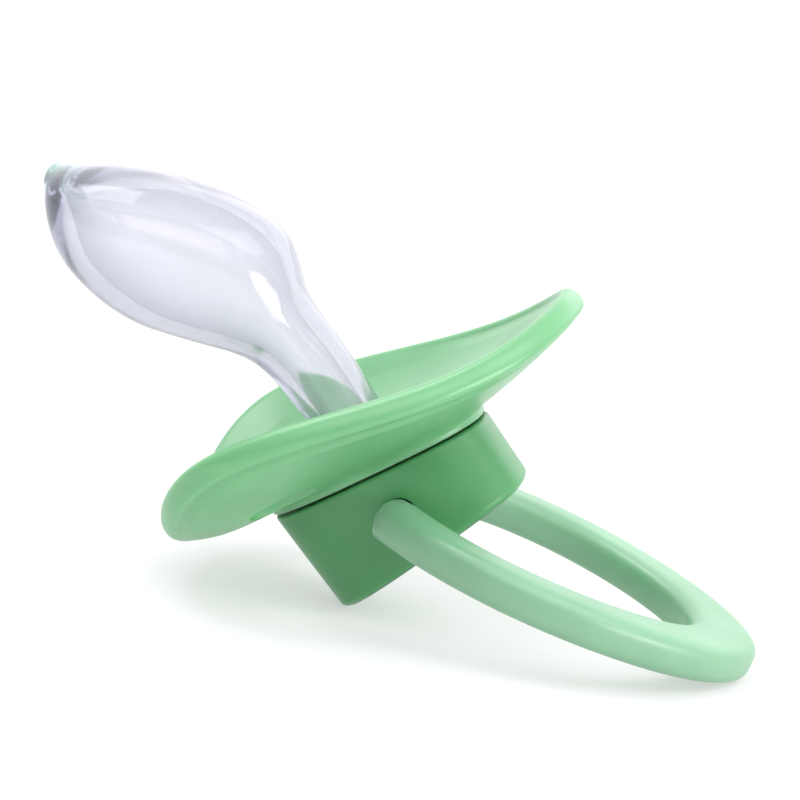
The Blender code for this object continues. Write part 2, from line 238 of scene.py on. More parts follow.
# Each noise is given as its scale, in features per metre, and its detail.
PLASTIC_CLOUD = (160, 3)
PLASTIC_DULLING = (240, 2)
PLASTIC_PEEL = (420, 1)
PLASTIC_PEEL_HEIGHT = 0.000012
PLASTIC_GRAIN = (1800, 1)
PLASTIC_GRAIN_HEIGHT = 0.0000015
GREEN_SPREAD = 0.05
PLASTIC_ROUGHNESS = (0.29, 0.36)
PLASTIC_IOR = 1.52
PLASTIC_GLOW_COLOUR = (0.45, 1.0, 0.55)
PLASTIC_GLOW_DEPTH = 0.0022

SILICONE_CLOUD = (140, 2)
SILICONE_HAZE = (300, 1)
SILICONE_FLOW = (110, 0)
SILICONE_FLOW_HEIGHT = 0.00002
SILICONE_DARK = (0.955, 0.955, 0.978)
SILICONE_LIGHT = (0.975, 0.975, 0.990)
# Painted shade: the silicone's colour turns towards this grey where the surface is seen edge on.
SILICONE_EDGE_PAINTED_SHADE = (0.46, 0.47, 0.53)
SILICONE_RIM_BLEND = 0.35
# A painted mint tint at the tip stands in for the green plastic seen through it, and fades out at this
# reach.
SILICONE_TIP_PAINTED_TINT = (0.70, 0.97, 0.91)
SILICONE_MINT_REACH = 0.0054
SILICONE_CLEAR = 0.88
SILICONE_TIP_CLEAR = 0.55
SILICONE_TIP_REACH = 0.0062
SILICONE_IOR = 1.41
SILICONE_ROUGHNESS = (0.05, 0.10)
SILICONE_DEPTH_COLOUR = (0.72, 0.73, 0.84)
SILICONE_DENSITY = 190.0
TIP_CORE = 0.0012

FLOOR_TOOTH = (700, 4)
FLOOR_TOOTH_HEIGHT = 0.00002
FLOOR_GREY = (0.42, 0.42, 0.42)
FLOOR_EMISSION = 0.49
FLOOR_ROUGHNESS = (0.7, 0.8)
FLOOR_RADIUS = 3.0
FLOOR_GAP = 0.00002

WORLD_WHITE = (0.985, 0.985, 1.0)
WORLD_BRIGHT_WAY = (0.15, 0.50, 0.85)
WORLD_FADE = (-0.45, 0.55)
WORLD_STRENGTH = (0.20, 1.25)

# Each light: its name, place, target, size and power in watts.
LIGHTS = (
    ("key", (0.45, -0.20, 0.65), (0, 0, 0.015), (0.40, 0.40), 1.1),
    ("fill", (0.60, -0.30, 0.10), (0.01, 0, 0.015), (0.40, 0.18), 1.8),
    ("front", (0.15, -0.80, 0.62), (0.01, 0, 0.01), (0.80, 0.50), 2.1),
)
# These light the object's surfaces too, but don't show through the silicone.
UNSEEN_LIGHTS = (
    ("back", (0.35, 0.75, 0.42), (0, 0, 0.01), (0.9, 0.45), 1.0),
    ("side", (-0.43, 0.74, 0.52), (0, 0, 0.01), (0.8, 0.8), 0.8),
    ("top", (-0.35, 0.02, 0.90), (0, 0, 0.01), (0.6, 0.5), 3.6),
)


# ---------------------------------------------------------------- shapes in the pacifier's axes


def superellipse(half_x, half_y, power, turn):
    """The point of a rounded oval at this turn; a power of 2 is an ellipse, more is squarer."""
    c, s = math.cos(turn), math.sin(turn)
    x = half_x * math.copysign(abs(c) ** (2 / power), c)
    y = half_y * math.copysign(abs(s) ** (2 / power), s)
    return Vector((x, y))


def turns(count):
    return [2 * math.pi * k / count for k in range(count)]


def seam_z(x):
    return SEAM_HEIGHT + SEAM_SLOPE * x


def knob_outline(turn, inset=0.0):
    return superellipse(KNOB_HALF_X - inset, KNOB_HALF_Y - inset, KNOB_POWER, turn)


def rim_outline(turn):
    chin = math.cos(turn) > 0
    reach = SHIELD_CHIN_REACH if chin else SHIELD_NOSE_REACH
    power = SHIELD_CHIN_POWER if chin else SHIELD_NOSE_POWER
    point = superellipse(reach, SHIELD_HALF_Y, power, turn)
    return Vector((point.x + SHIELD_CENTRE_X, point.y))


def rim_crest_z(x, y):
    """The rolled rim leans with the seam and curves towards the cheeks at both sides."""
    level, slope, square, cube, cheeks = CREST
    return level + slope * x + square * x**2 + cube * x**3 + cheeks * y**2


def lip_share(turn):
    """The lip is lower round the nose end."""
    return 1 - LIP_DROP_AT_NOSE * max(0.0, -math.cos(turn)) ** 2


def between(turn, part):
    """A point of the plate: part 0 is the knob's outline and part 1 is the rim's."""
    return knob_outline(turn).lerp(rim_outline(turn), part)


def back_z(turn, part):
    """The plate's back: it leaves the plinth low and steepens to the rim, most of all at the nose."""
    start = knob_outline(turn)
    end = rim_outline(turn)
    low = seam_z(start.x) + SEAM_GAP / 2 + PLINTH_HEIGHT
    high = rim_crest_z(end.x, end.y) - LIP_HEIGHT * lip_share(turn)
    bulge = max(0.0, -math.cos(turn))
    rise = (0.45 * part + 0.55 * part**2) * (1 - bulge) + part**2.5 * bulge
    return low + (high - low) * rise


def at(point, z):
    return Vector((point.x, point.y, z))


def corner(before, point, after, radius):
    """Three points that keep a corner tight when the line is rounded."""
    return [
        point + (before - point).normalized() * radius,
        point,
        point + (after - point).normalized() * radius,
    ]


def edge_steps(radius, steps, sweep=math.pi / 2):
    """Steps round an edge from its side to its top: (inset, distance below the top) at each."""
    for step in range(steps + 1):
        angle = sweep * step / steps
        yield radius * (1 - math.cos(angle)), radius * (1 - math.sin(angle))


def bend(before, corner_point, after, steps=8):
    """A smooth bend from one point to another, pulled towards the corner between them."""
    points = []
    for step in range(1, steps + 1):
        part = step / steps
        points.append(before.lerp(corner_point, part).lerp(corner_point.lerp(after, part), part))
    return points


def rounded(points, passes=2):
    """An open line with its corners cut off again and again; its two ends stay."""
    for _ in range(passes):
        cut = [points[0]]
        for a, b in zip(points, points[1:]):
            cut.append(a.lerp(b, 0.25))
            cut.append(a.lerp(b, 0.75))
        cut.append(points[-1])
        points = cut
    return points


# ---------------------------------------------------------------- meshes and objects


def laid_down():
    """From the pacifier's own axes to the frame: its place is the hinge, its lean the knob's back."""
    hinge = Vector(frame["joints"][0]["pos_m"])
    back = Vector(frame["record"]["mounts"][0]["axis"])
    tilt = math.atan2(back.x, -back.z)
    return Matrix.Translation(hinge) @ Matrix.Rotation(-tilt, 4, "Y")


LAID_DOWN = laid_down()


def loft(bm, rings, closed_loop=False, cap_first=False, cap_last=False):
    """Faces between neighbouring rings of points; every ring has the same number of points."""
    rows = [[bm.verts.new(point) for point in ring] for ring in rings]
    pairs = list(zip(rows, rows[1:]))
    if closed_loop:
        pairs.append((rows[-1], rows[0]))
    for lower, upper in pairs:
        for k in range(len(lower)):
            after = (k + 1) % len(lower)
            bm.faces.new((lower[k], lower[after], upper[after], upper[k]))
    if cap_first:
        bm.faces.new(list(reversed(rows[0])))
    if cap_last:
        bm.faces.new(rows[-1])
    return rows


def new_object(name, bm):
    bmesh.ops.recalc_face_normals(bm, faces=bm.faces)
    mesh = bpy.data.meshes.new(name)
    bm.to_mesh(mesh)
    bm.free()
    obj = bpy.data.objects.new(name, mesh)
    bpy.context.scene.collection.objects.link(obj)
    return obj


def cut_out(obj, cutters):
    """Takes the cutters out of the object for good, and removes them."""
    for cutter in cutters:
        modifier = obj.modifiers.new("Cut", "BOOLEAN")
        modifier.operation = "DIFFERENCE"
        modifier.solver = "EXACT"
        modifier.object = cutter
    bpy.context.view_layer.update()
    graph = bpy.context.evaluated_depsgraph_get()
    mesh = bpy.data.meshes.new_from_object(obj.evaluated_get(graph))
    old = obj.data
    obj.modifiers.clear()
    obj.data = mesh
    bpy.data.meshes.remove(old)
    mesh.name = obj.name
    for cutter in cutters:
        mesh = cutter.data
        bpy.data.objects.remove(cutter)
        bpy.data.meshes.remove(mesh)


def finished(obj, body, material, turned=None, sharp=40):
    """Lays the piece down, shades it smooth, and says what it rides on and is made of."""
    obj.data.transform(LAID_DOWN @ (turned or Matrix.Identity(4)))
    obj.data.materials.clear()
    obj.data.materials.append(material)
    obj.data.shade_smooth()
    obj.data.set_sharp_from_angle(angle=math.radians(sharp))
    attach(obj, body)
    return obj


# ---------------------------------------------------------------- shield


def shield_front(turn, reach):
    """The front from the neck's opening to the foot of the lip."""
    opening = superellipse(NECK_HALF_X + CLEARANCE, NECK_HALF_Y + CLEARANCE, 2, turn)
    plinth = knob_outline(turn)
    shoulder = opening.lerp(plinth, SHOULDER_PART)
    lip = LIP_WIDTH / reach
    edge = at(opening, seam_z(opening.x) + CENTRE_THICKNESS)
    flat = at(shoulder, seam_z(shoulder.x) + CENTRE_THICKNESS + SHOULDER_RISE)
    line = corner(edge - Vector((0, 0, OPENING_DEPTH)), edge, flat, OPENING_CORNER)
    line.append(flat)
    for step in range(FRONT_STEPS + 1):
        part = FRONT_END * step / FRONT_STEPS
        point = between(turn, part * (1 - lip))
        height = PLATE_THICKNESS * (1 + RIM_THICKENING * part**3)
        line.append(at(point, back_z(turn, part * (1 - lip)) + height))
    return line


def shield_back(turn, reach):
    """The back from the lip's crease to the plinth's lower edge."""
    lip = LIP_WIDTH / reach
    plinth = knob_outline(turn)
    line = []
    for part in (1 - BACK_END * lip, *BACK_PARTS):
        line.append(at(between(turn, part), back_z(turn, part)))
    root = at(plinth, back_z(turn, 0.0))
    foot = at(plinth, seam_z(plinth.x) + SEAM_SHOWN / 2)
    line += bend(line[-1], root, foot + (root - foot) * 0.2)
    line += corner(root, foot, foot.lerp(Vector((0, 0, foot.z)), 0.1), PLINTH_CORNER)
    return line


def shield_section(turn):
    """One section of the shield, from the neck opening over front, rim and back to the opening."""
    rim = rim_outline(turn)
    crest = rim_crest_z(rim.x, rim.y)
    reach = (rim - knob_outline(turn)).length
    line = shield_front(turn, reach)
    bulge = max(0.0, -math.cos(turn)) ** 2
    for side, nose in zip(LIP_PROFILE, NOSE_PROFILE):
        inset = side[0] + (nose[0] - side[0]) * bulge
        drop = side[1] + (nose[1] - side[1]) * bulge
        line.append(at(between(turn, 1 - inset / reach), crest - drop))
    line += shield_back(turn, reach)
    line = rounded(line)
    spigot = knob_outline(turn, KNOB_WALL + CLEARANCE)
    spigot_inner = knob_outline(turn, KNOB_WALL + CLEARANCE + SPIGOT_WALL)
    opening = superellipse(NECK_HALF_X + CLEARANCE, NECK_HALF_Y + CLEARANCE, 2, turn)
    for point, drop in (
        (spigot, 0.0),
        (spigot, SPIGOT_DEPTH),
        (spigot_inner, SPIGOT_DEPTH),
        (spigot_inner, 0.0),
        (opening, 0.0),
    ):
        line.append(at(point, seam_z(point.x) + SEAM_GAP / 2 - drop))
    return line


def surface_z(tree, point, upwards):
    """The plate's height at a point, seen from above, or from below if upwards is true."""
    start = at(point, BELOW_SHIELD if upwards else ABOVE_SHIELD)
    hit = tree.ray_cast(start, Vector((0, 0, 1 if upwards else -1)))
    return hit[0].z


def vent_cutter(number, tree, centre, half_length, half_width, lean):
    """An oval plug that flares at both ends, so that the vent's edges come out rounded."""
    turned = Matrix.Rotation(lean, 2)

    def ring(outset, depth, upwards):
        points = []
        for turn in turns(VENT_SECTORS):
            oval = superellipse(half_length + outset, half_width + outset, VENT_POWER, turn)
            point = Vector(centre) + turned @ oval
            z = surface_z(tree, point, upwards)
            points.append(at(point, z + depth if upwards else z - depth))
        return points

    def flare(radius, upwards):
        steps = list(edge_steps(radius, 7, VENT_SWEEP))
        rings = [ring(outset, depth, upwards) for outset, depth in steps]
        outset, depth = steps[-1]
        outset += (depth + VENT_RISE) * math.tan(VENT_SWEEP)
        rings.append(ring(outset, -VENT_RISE, upwards))
        rings.append(ring(outset, -VENT_MARGIN, upwards))
        return rings

    rings = list(reversed(flare(VENT_BACK_RADIUS, True))) + flare(VENT_FRONT_RADIUS, False)
    bm = bmesh.new()
    loft(bm, rings, cap_first=True, cap_last=True)
    return new_object("vent_cutter_%d" % number, bm)


def make_shield(material):
    sections = [shield_section(turn) for turn in turns(SHIELD_SECTORS)]
    bm = bmesh.new()
    loft(bm, list(zip(*sections)), closed_loop=True)
    bmesh.ops.recalc_face_normals(bm, faces=bm.faces)
    tree = BVHTree.FromBMesh(bm)
    shield = new_object("shield_plate", bm)
    cut_out(shield, [vent_cutter(k, tree, *vent) for k, vent in enumerate(VENTS)])
    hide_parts("shield")
    return finished(shield, "pacifier_body", material)


# ---------------------------------------------------------------- knob


def knob_back_rings():
    """The slightly dished back from near its middle, then the rounded edge."""
    rings = []
    for scale in (0.04, 0.2, 0.4, 0.6, 0.75, 0.86, KNOB_DISH_REACH):
        z = KNOB_BACK + KNOB_DISH * (1 - (scale / KNOB_DISH_REACH) ** 2)
        rings.append([at(knob_outline(turn) * scale, z) for turn in turns(KNOB_SECTORS)])
    for rise, inset in edge_steps(KNOB_EDGE_RADIUS, 10):
        outline = [knob_outline(turn, inset) * KNOB_BACK_SHRINK for turn in turns(KNOB_SECTORS)]
        rings.append([at(point, KNOB_BACK + rise) for point in outline])
    return rings


def knob_ring(inset, drop):
    """A ring on the knob's mouth, parallel to the seam."""
    outline = [knob_outline(turn, inset) for turn in turns(KNOB_SECTORS)]
    return [at(point, seam_z(point.x) - SEAM_SHOWN / 2 - drop) for point in outline]


def round_ring(radius, y, sectors):
    """A circle of points about the hinge axis."""
    return [Vector((radius * math.cos(turn), y, radius * math.sin(turn))) for turn in turns(sectors)]


def bearing_cutter(side):
    bm = bmesh.new()
    middle = side * (KNOB_HALF_Y + BEARING_SHIFT)
    ends = (middle - BEARING_HALF_DEPTH, middle + BEARING_HALF_DEPTH)
    rings = [round_ring(BEARING_RADIUS, y, BEARING_SECTORS) for y in ends]
    loft(bm, rings, cap_first=True, cap_last=True)
    return new_object("bearing_cutter", bm)


def make_knob(material):
    """A cup whose mouth faces the shield, with bearing holes for the ring's pins."""
    rings = knob_back_rings()
    low, high = rings[-1], knob_ring(0.0, KNOB_MOUTH_RADIUS)
    for part in (0.25, 0.5, 0.75):
        rings.append([a.lerp(b, part) for a, b in zip(low, high)])
    rings += [knob_ring(inset, drop) for inset, drop in edge_steps(KNOB_MOUTH_RADIUS, 6)]
    rings.append(knob_ring(KNOB_WALL - KNOB_SMALL_BEVEL, 0.0))
    rings.append(knob_ring(KNOB_WALL, KNOB_SMALL_BEVEL))
    floor = KNOB_BACK + KNOB_FLOOR
    for inset, z in (
        (0.0, floor + KNOB_FLOOR_BEVEL),
        (KNOB_FLOOR_BEVEL, floor),
        (KNOB_FLOOR_INSET, floor),
    ):
        outline = [knob_outline(turn, KNOB_WALL + inset) for turn in turns(KNOB_SECTORS)]
        rings.append([at(point, z) for point in outline])
    bm = bmesh.new()
    loft(bm, rings, cap_first=True, cap_last=True)
    knob = new_object("knob_shell", bm)
    cut_out(knob, [bearing_cutter(1), bearing_cutter(-1)])
    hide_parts("knob_housing")
    return finished(knob, "pacifier_body", material)


def prism(bm, half_x, half_y, low, high, edge):
    """An upright oval post with a rounded top edge; high gives the height of its top at x."""
    around = turns(POST_SECTORS)
    rings = [[at(superellipse(half_x, half_y, 2, turn), low) for turn in around]]
    for inset, drop in edge_steps(edge, 6):
        outline = [superellipse(half_x - inset, half_y - inset, 2, turn) for turn in around]
        rings.append([at(point, high(point.x) - drop) for point in outline])
    loft(bm, rings, cap_first=True, cap_last=True)


def make_post(material):
    """The boss under the teat's flange and the post that fills its neck."""
    floor = KNOB_BACK + KNOB_FLOOR
    flange_under = SEAM_GAP / 2 + CLEARANCE + FLANGE_THICKNESS + CLEARANCE
    half_x = NECK_HALF_X - NECK_WALL - CLEARANCE
    half_y = NECK_HALF_Y - NECK_WALL - CLEARANCE
    bm = bmesh.new()
    boss_low, post_low = floor - BOSS_ROOT, floor - POST_ROOT
    prism(bm, BOSS_HALF, BOSS_HALF, boss_low, lambda x: seam_z(x) - flange_under, BOSS_EDGE)
    prism(bm, half_x, half_y, post_low, lambda x: POST_TOP, POST_EDGE)
    post = new_object("neck_post", bm)
    return finished(post, "pacifier_body", material)


# ---------------------------------------------------------------- teat


def smooth_stations(stations, steps):
    """The stations with this many steps between neighbours, on a Catmull-Rom curve through them."""
    rows = [Vector((half_y, *nose, *chin)) for half_y, nose, chin in stations]
    rows = [2 * rows[0] - rows[1]] + rows + [2 * rows[-1] - rows[-2]]
    smooth = []
    for a, b, c, d in zip(rows, rows[1:], rows[2:], rows[3:]):
        for step in range(steps):
            t = step / steps
            curve = (2 * a - 5 * b + 4 * c - d) * t**2 + (3 * b - 3 * c + d - a) * t**3
            smooth.append((2 * b + (c - a) * t + curve) / 2)
    smooth.append(rows[-2])
    return smooth


def teat_ring(station, wall):
    """One oval ring round the teat, its two outline points moved inwards by the wall."""
    half_y = station[0]
    nose = Vector((station[1], 0, station[2]))
    chin = Vector((station[3], 0, station[4]))
    middle = (nose + chin) / 2
    across = (chin - nose) / 2
    long = across.length - wall
    side = half_y - wall
    ring = []
    for turn in turns(TEAT_SECTORS):
        point = superellipse(long, side, TEAT_POWER, turn)
        ring.append(middle + across.normalized() * point.x + Vector((0, point.y, 0)))
    return ring


def flange_ring(half_x, half_y, drop):
    """A ring on the teat's foot, parallel to the seam and this far below it."""
    ring = []
    for turn in turns(TEAT_SECTORS):
        point = superellipse(half_x, half_y, 2, turn)
        ring.append(at(point, seam_z(point.x) - drop))
    return ring


def dome(ring, tip, steps=8):
    """Rings that close the last one in a round end at the tip."""
    middle = sum(ring, Vector()) / len(ring)
    rings = []
    for step in range(1, steps):
        angle = math.pi / 2 * step / steps
        centre = middle.lerp(tip, math.sin(angle))
        rings.append([centre + (point - middle) * math.cos(angle) for point in ring])
    return rings


def teat_outside():
    """The outside from the flange's foot up the neck to the last ring before the tip's end."""
    top = SEAM_GAP / 2
    foot = top + FLANGE_THICKNESS
    face = FLANGE_HALF - FLANGE_BEVEL
    rings = [
        flange_ring(face, face, foot),
        flange_ring(FLANGE_HALF, FLANGE_HALF, foot - FLANGE_EDGE),
        flange_ring(FLANGE_HALF, FLANGE_HALF, top + FLANGE_EDGE),
        flange_ring(face, face, top),
        flange_ring(NECK_HALF_X, NECK_HALF_Y, top),
        flange_ring(NECK_HALF_X, NECK_HALF_Y, -CENTRE_THICKNESS),
    ]
    rings += [teat_ring(station, 0.0) for station in smooth_stations(TEAT_STATIONS, TEAT_STEPS)]
    return rings + dome(rings[-1], Vector((TEAT_TIP[0], 0, TEAT_TIP[1])))


def teat_hollow():
    """The hollow from the open foot to its round end in the solid tip."""
    foot = SEAM_GAP / 2 + FLANGE_THICKNESS
    neck_x, neck_y = NECK_HALF_X - NECK_WALL, NECK_HALF_Y - NECK_WALL
    rings = [flange_ring(neck_x, neck_y, foot), flange_ring(neck_x, neck_y, -CENTRE_THICKNESS)]
    stations = smooth_stations(TEAT_STATIONS[:-2], TEAT_STEPS)
    for number, station in enumerate(stations):
        along = number / (len(stations) - 1)
        thicker = max(0.0, (along - TIP_FROM) / (1 - TIP_FROM))
        wall = NECK_WALL + (BULB_WALL - NECK_WALL) * min(1.0, along / BULB_FROM)
        wall += (TIP_WALL - BULB_WALL) * thicker**2
        rings.append(teat_ring(station, wall))
    middle = sum(rings[-1], Vector()) / TEAT_SECTORS
    tip = middle.lerp(Vector((TEAT_TIP[0], 0, TEAT_TIP[1])), HOLLOW_TIP_REACH)
    return rings + dome(rings[-1], tip)


def make_teat(material):
    """One closed skin: the outside, the hollow, their two round ends and the foot between them."""
    bm = bmesh.new()
    outside, hollow = teat_outside(), teat_hollow()
    outer = loft(bm, outside)
    inner = loft(bm, hollow)
    tip = bm.verts.new((TEAT_TIP[0], 0, TEAT_TIP[1]))
    before, last = (sum(ring, Vector()) / TEAT_SECTORS for ring in hollow[-2:])
    end = bm.verts.new(last + (last - before) * HOLLOW_END_REACH)
    for k in range(TEAT_SECTORS):
        after = (k + 1) % TEAT_SECTORS
        bm.faces.new((outer[-1][k], outer[-1][after], tip))
        bm.faces.new((inner[-1][k], inner[-1][after], end))
        bm.faces.new((outer[0][k], outer[0][after], inner[0][after], inner[0][k]))
    teat = new_object("teat_silicone", bm)
    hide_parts("teat")
    return finished(teat, "pacifier_body", material, sharp=60)


# ---------------------------------------------------------------- ring


def ring_path(part):
    """Centre and direction of the ring's band in its own plane: (along, sideways)."""
    start = Vector((0, RING_LEG_Y))
    pull = start + RING_LEG_PULL * Vector((math.cos(RING_FLARE), math.sin(RING_FLARE)))
    end = Vector((RING_LENGTH, 0))
    end_pull = end + Vector((0, RING_END_PULL))
    a, b = 1 - part, part
    centre = a**3 * start + 3 * a * a * b * pull + 3 * a * b * b * end_pull + b**3 * end
    along = a * a * (pull - start) + 2 * a * b * (end_pull - pull) + b * b * (end - end_pull)
    return centre, along.normalized()


def soft_most(a, b, blend):
    """The larger of two lengths, with a smooth turn between them."""
    half = (a - b) / 2
    return (a + b) / 2 + math.sqrt(half * half + blend * blend)


def ring_section(centre, outward, half_width, half_thickness):
    """An oval section of the band, kept clear of the knob's side; bowed along the ring's length."""
    section = []
    for turn in turns(RING_SIDES):
        oval = superellipse(half_width, half_thickness, RING_POWER, turn)
        flat = centre + outward * oval.x
        sideways = max(flat.y, 0.0)
        if flat.x < RING_BESIDE_KNOB:
            sideways = soft_most(sideways, KNOB_HALF_Y + CLEARANCE, RING_SIDE_BLEND)
        bow = RING_BOW * max(centre.x, 0.0) ** 2
        section.append(Vector((bow + oval.y, sideways, -flat.x)))
    return section


def half_ring():
    """Sections from the rounded head at the hinge to the middle of the outer end."""
    sections = []
    for step in range(1, RING_HEAD_STEPS):
        angle = math.pi / 2 * (1 - step / RING_HEAD_STEPS)
        centre = Vector((-RING_HALF_THICKNESS * math.sin(angle), RING_LEG_Y))
        share = RING_HEAD_WIDTH + (1 - RING_HEAD_WIDTH) * math.cos(angle)
        width = RING_LEG_HALF_WIDTH * share
        thickness = RING_HALF_THICKNESS * math.cos(angle)
        sections.append(ring_section(centre, Vector((0, 1)), width, thickness))
    for step in range(RING_STATIONS + 1):
        part = step / RING_STATIONS
        centre, along = ring_path(part)
        outward = Vector((-along.y, along.x))
        width = RING_LEG_HALF_WIDTH + (RING_END_HALF_WIDTH - RING_LEG_HALF_WIDTH) * part
        sections.append(ring_section(centre, outward, width, RING_HALF_THICKNESS))
    return sections


def make_ring(material):
    """The whole loop with its two hinge pins, drawn straight back along -Z and then turned."""
    half = half_ring()
    other = [[Vector((p.x, -p.y, p.z)) for p in section] for section in reversed(half[:-1])]
    bm = bmesh.new()
    loft(bm, half + other, cap_first=True, cap_last=True)
    pin = (
        (PIN_INNER_END, PIN_RADIUS * PIN_END_SCALE),
        (PIN_INNER_END + PIN_BEVEL, PIN_RADIUS),
        (RING_LEG_Y, PIN_RADIUS),
    )
    for side in (1, -1):
        rings = [round_ring(radius, side * y, PIN_SECTORS) for y, radius in pin]
        loft(bm, rings, cap_first=True, cap_last=True)
    ring = new_object("ring_loop", bm)
    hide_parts("finger_ring")
    turned = Matrix.Rotation(-RING_ANGLE, 4, "Y")
    return finished(ring, "ring", material, turned)


# ---------------------------------------------------------------- materials


def new_material(name):
    material = bpy.data.materials.new(name)
    material.use_nodes = True
    return material, material.node_tree.nodes, material.node_tree.links


def noise(nodes, links, scale, detail):
    """Noise in the object's own space; the scale is in features per metre."""
    coords = nodes.new("ShaderNodeTexCoord")
    texture = nodes.new("ShaderNodeTexNoise")
    texture.inputs["Scale"].default_value = scale
    texture.inputs["Detail"].default_value = detail
    links.new(coords.outputs["Object"], texture.inputs["Vector"])
    return texture.outputs["Fac"]


def spread(nodes, links, value, low, high):
    """The noise spread over this range."""
    node = nodes.new("ShaderNodeMapRange")
    node.inputs["From Min"].default_value = 0.3
    node.inputs["From Max"].default_value = 0.7
    node.inputs["To Min"].default_value = low
    node.inputs["To Max"].default_value = high
    links.new(value, node.inputs["Value"])
    return node.outputs["Result"]


def bump(nodes, links, height, distance, strength, before=None):
    """A normal that follows this height, on top of another bump if one comes before it."""
    node = nodes.new("ShaderNodeBump")
    node.inputs["Distance"].default_value = distance
    node.inputs["Strength"].default_value = strength
    links.new(height, node.inputs["Height"])
    if before:
        links.new(before, node.inputs["Normal"])
    return node.outputs["Normal"]


def plastic(name, colour, matter=0.0, gleam=0.5, glow=0.25):
    """Satin moulded polypropylene: a faint cloud in its colour and its gloss, faint orange peel and
    fine grain. Gleam sets how much it reflects, glow how far light gets in, and matter dulls it.
    """
    material, nodes, links = new_material(name)
    shader = nodes["Principled BSDF"]
    cloud = spread(nodes, links, noise(nodes, links, *PLASTIC_CLOUD), 0, 1)
    light = tuple(c * (1 + GREEN_SPREAD) for c in colour)
    dark = tuple(c * (1 - GREEN_SPREAD) for c in colour)
    links.new(mixed(nodes, links, cloud, dark, light), shader.inputs["Base Color"])
    low, high = PLASTIC_ROUGHNESS
    marks = noise(nodes, links, *PLASTIC_DULLING)
    links.new(spread(nodes, links, marks, low + matter, high + matter), shader.inputs["Roughness"])
    peel = noise(nodes, links, *PLASTIC_PEEL)
    grain = noise(nodes, links, *PLASTIC_GRAIN)
    under = bump(nodes, links, peel, PLASTIC_PEEL_HEIGHT, 0.5)
    links.new(bump(nodes, links, grain, PLASTIC_GRAIN_HEIGHT, 0.5, under), shader.inputs["Normal"])
    shader.inputs["IOR"].default_value = PLASTIC_IOR
    shader.inputs["Specular IOR Level"].default_value = gleam
    shader.inputs["Subsurface Weight"].default_value = glow
    shader.inputs["Subsurface Radius"].default_value = PLASTIC_GLOW_COLOUR
    shader.inputs["Subsurface Scale"].default_value = PLASTIC_GLOW_DEPTH
    return material


def near_tip(nodes, links, reach):
    """One at the teat's tip, fading smoothly to nothing at this distance from it."""
    coords = nodes.new("ShaderNodeTexCoord")
    away = nodes.new("ShaderNodeVectorMath")
    away.operation = "DISTANCE"
    away.inputs[1].default_value = LAID_DOWN @ Vector((TEAT_TIP[0], 0, TEAT_TIP[1]))
    links.new(coords.outputs["Object"], away.inputs[0])
    fade = nodes.new("ShaderNodeMapRange")
    fade.interpolation_type = "SMOOTHSTEP"
    fade.inputs["From Min"].default_value = TIP_CORE
    fade.inputs["From Max"].default_value = reach
    fade.inputs["To Min"].default_value = 1.0
    fade.inputs["To Max"].default_value = 0.0
    links.new(away.outputs["Value"], fade.inputs["Value"])
    return fade.outputs["Result"]


def mixed(nodes, links, factor, a, b):
    """A colour between a and b by the factor; each is a colour or a socket."""
    mix = nodes.new("ShaderNodeMix")
    mix.data_type = "RGBA"
    links.new(factor, mix.inputs["Factor"])
    for name, colour in (("A", a), ("B", b)):
        if isinstance(colour, tuple):
            mix.inputs[name].default_value = colour + (1.0,)
        else:
            links.new(colour, mix.inputs[name])
    return mix.outputs["Result"]


def silicone(name):
    """Clear moulded silicone: faintly lavender, darker where seen edge on as painted shade, and milky at
    its tip with a painted mint tint for the green plastic seen through it.
    """
    material, nodes, links = new_material(name)
    shader = nodes["Principled BSDF"]
    cloud = spread(nodes, links, noise(nodes, links, *SILICONE_CLOUD), 0, 1)
    body = mixed(nodes, links, cloud, SILICONE_DARK, SILICONE_LIGHT)
    # Painted shade: darker colour where the surface is seen edge on.
    edge = nodes.new("ShaderNodeLayerWeight")
    edge.inputs["Blend"].default_value = SILICONE_RIM_BLEND
    rim = mixed(nodes, links, edge.outputs["Facing"], body, SILICONE_EDGE_PAINTED_SHADE)
    # A painted mint tint near the tip, for the green plastic seen through it.
    tip = near_tip(nodes, links, SILICONE_MINT_REACH)
    links.new(mixed(nodes, links, tip, rim, SILICONE_TIP_PAINTED_TINT), shader.inputs["Base Color"])
    clear = nodes.new("ShaderNodeMapRange")
    clear.inputs["To Min"].default_value = SILICONE_CLEAR
    clear.inputs["To Max"].default_value = SILICONE_TIP_CLEAR
    links.new(near_tip(nodes, links, SILICONE_TIP_REACH), clear.inputs["Value"])
    links.new(clear.outputs["Result"], shader.inputs["Transmission Weight"])
    shader.inputs["IOR"].default_value = SILICONE_IOR
    haze = noise(nodes, links, *SILICONE_HAZE)
    links.new(spread(nodes, links, haze, *SILICONE_ROUGHNESS), shader.inputs["Roughness"])
    flow = noise(nodes, links, *SILICONE_FLOW)
    links.new(bump(nodes, links, flow, SILICONE_FLOW_HEIGHT, 0.10), shader.inputs["Normal"])
    absorb = nodes.new("ShaderNodeVolumeAbsorption")
    absorb.inputs["Color"].default_value = (*SILICONE_DEPTH_COLOUR, 1.0)
    absorb.inputs["Density"].default_value = SILICONE_DENSITY
    links.new(absorb.outputs["Volume"], nodes["Material Output"].inputs["Volume"])
    return material


